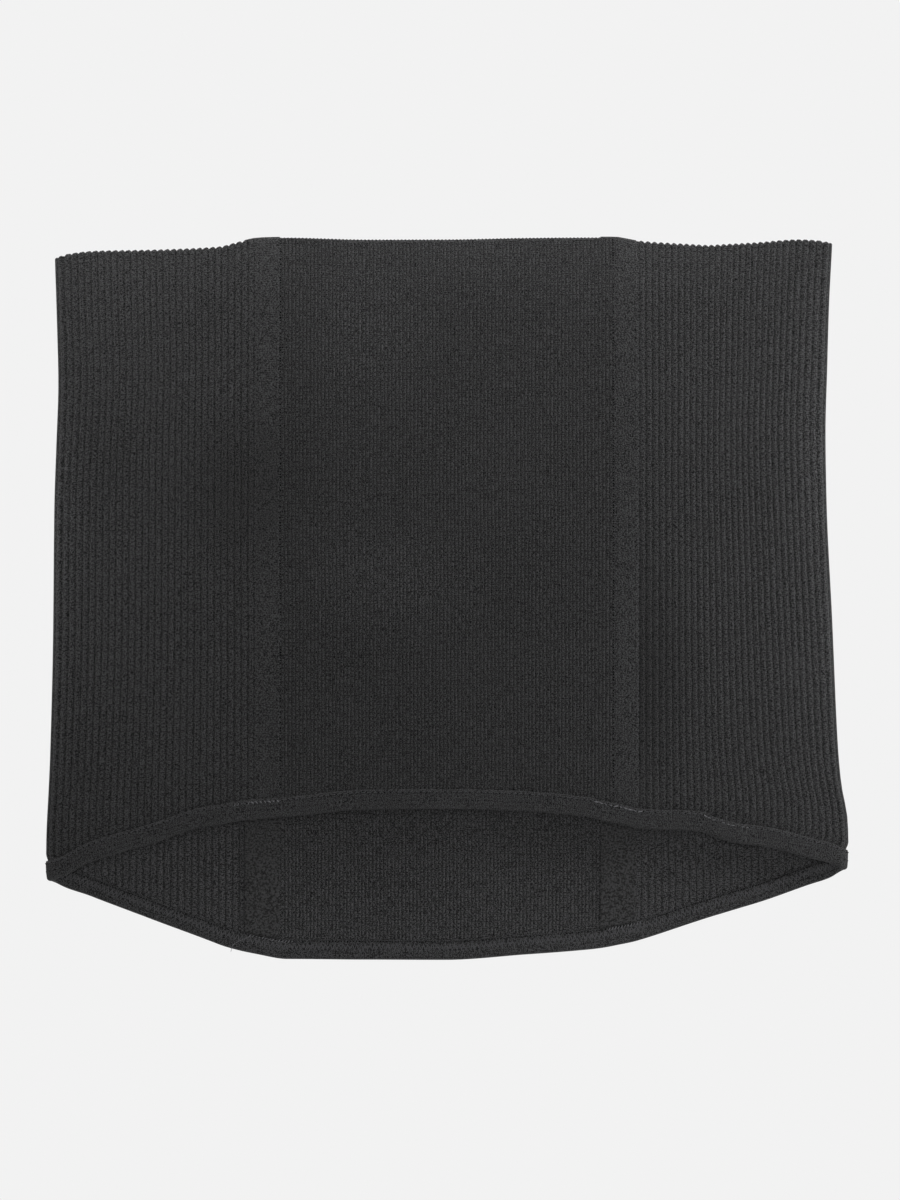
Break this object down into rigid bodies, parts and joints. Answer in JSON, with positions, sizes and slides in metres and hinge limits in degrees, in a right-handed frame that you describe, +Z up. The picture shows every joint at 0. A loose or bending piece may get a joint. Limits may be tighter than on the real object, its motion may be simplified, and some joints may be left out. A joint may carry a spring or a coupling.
{
  "type": "waist trimmer belt",
  "caption": "Pull-on waist trimmer belt of thick ribbed knit, lying flat, with boned seams, a short arched front, a longer back and a bound hem.",
  "frame": {"origin": "under the middle of the belt, on the surface that it lies on", "axes": "+X across the belt to the right of its front, +Y towards its top edge, +Z up from the surface that it lies on"},
  "size_m": [0.36, 0.3258, 0.0147],
  "materials": {
    "rib_knit": "wide-ribbed nylon and elastane knit, matt black",
    "fine_knit": "fine-ribbed nylon and elastane knit, matt black",
    "channel_knit": "plain stitched-down knit, matt black",
    "boning_tape": "brushed plush tape, matt black",
    "binding_elastic": "folded elastic binding, matt black"
  },
  "bodies": {
    "root": {"front_panel": "fine_knit", "back_panel": "fine_knit", "side_panel_left": "rib_knit", "side_panel_right": "rib_knit", "channel_front_left": "channel_knit", "channel_front_right": "channel_knit", "channel_back_left": "channel_knit", "channel_back_right": "channel_knit", "tape_front_left": "boning_tape", "tape_front_right": "boning_tape", "tape_back_left": "boning_tape", "tape_back_right": "boning_tape", "hem_binding": "binding_elastic"}
  },
  "joints": []
}
